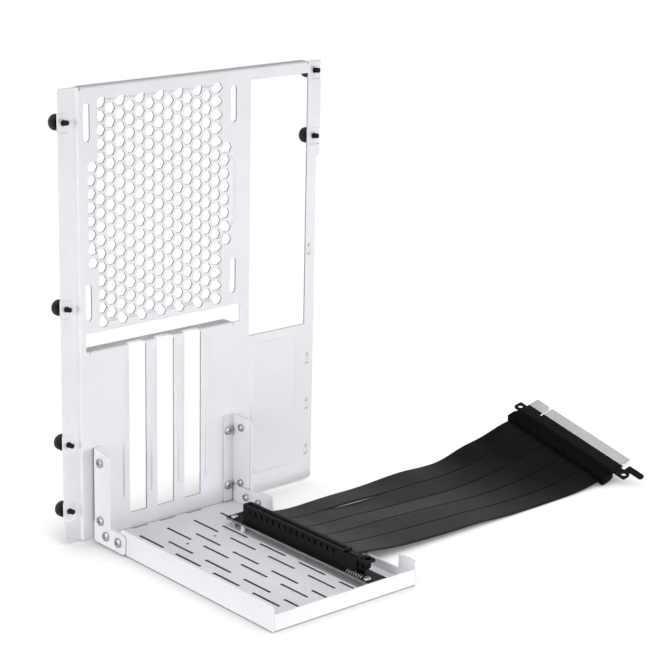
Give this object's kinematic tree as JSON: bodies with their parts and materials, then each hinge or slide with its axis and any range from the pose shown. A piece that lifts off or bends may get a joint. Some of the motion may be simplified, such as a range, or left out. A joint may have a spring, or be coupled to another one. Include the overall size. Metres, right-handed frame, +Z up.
{
  "type": "riser card with bracket",
  "caption": "Upright card mount: folded rear panel with fan grille and I/O opening, vented tray on side plates, riser slot board with latch, and flat ribbon cable ending in an edge plug.",
  "frame": {"origin": "middle of the box of the panel and tray, without the cable and plug, on the surface that the tray stands on", "axes": "+Z up along the panel, +Y from the tray's front rim towards the panel's back, +X along the panel towards the side that the cable leaves by"},
  "size_m": [0.356, 0.1808, 0.272],
  "materials": {
    "white_coat": "satin white powder coat",
    "black_screw": "satin black oxide",
    "screw_steel": "bright zinc",
    "board_mask": "black solder mask",
    "post_steel": "machined",
    "rest_nylon": "natural white",
    "slot_plastic": "moulded matt black",
    "contact_metal": "plated spring contacts",
    "solder_tin": "tinned",
    "boot_rubber": "moulded matt black",
    "shroud_plastic": "moulded matt black",
    "finger_metal": "bright plated fingers",
    "ribbon_jacket": "satin black jacket"
  },
  "bodies": {
    "mount_frame": {"rear_panel": "white_coat", "fan_panel": "white_coat", "io_frame": "white_coat", "thumbscrew_left_1": "black_screw", "thumbscrew_left_2": "black_screw", "thumbscrew_left_3": "black_screw", "thumbscrew_left_4": "black_screw", "thumbscrew_right_1": "black_screw", "thumbscrew_right_2": "black_screw", "tray": "white_coat", "panel_angle_left": "white_coat", "side_plate_left": "white_coat", "panel_angle_right": "white_coat", "side_plate_right": "white_coat", "panel_screws": "screw_steel", "plate_screws": "screw_steel", "plate_nuts": "screw_steel", "riser_board": "board_mask", "board_posts": "post_steel", "board_rests": "rest_nylon", "board_screws": "screw_steel", "slot_housing": "slot_plastic", "slot_contacts": "contact_metal", "solder_pins": "solder_tin", "ribbon_boot": "boot_rubber", "ribbon_1": "ribbon_jacket", "ribbon_2": "ribbon_jacket", "ribbon_3": "ribbon_jacket", "ribbon_4": "ribbon_jacket", "ribbon_5": "ribbon_jacket", "plug_shroud_upper": "shroud_plastic", "plug_shroud_lower": "shroud_plastic", "plug_board": "board_mask", "plug_contacts": "finger_metal"},
    "latch": {"slot_latch": "slot_plastic"}
  },
  "joints": [
    {"name": "latch_hinge", "type": "hinge", "parent": "mount_frame", "child": "latch", "pos_m": [0.00655, -0.0633, 0.0104], "axis": [1, 0, 0], "range_deg": [0, 15]}
  ]
}
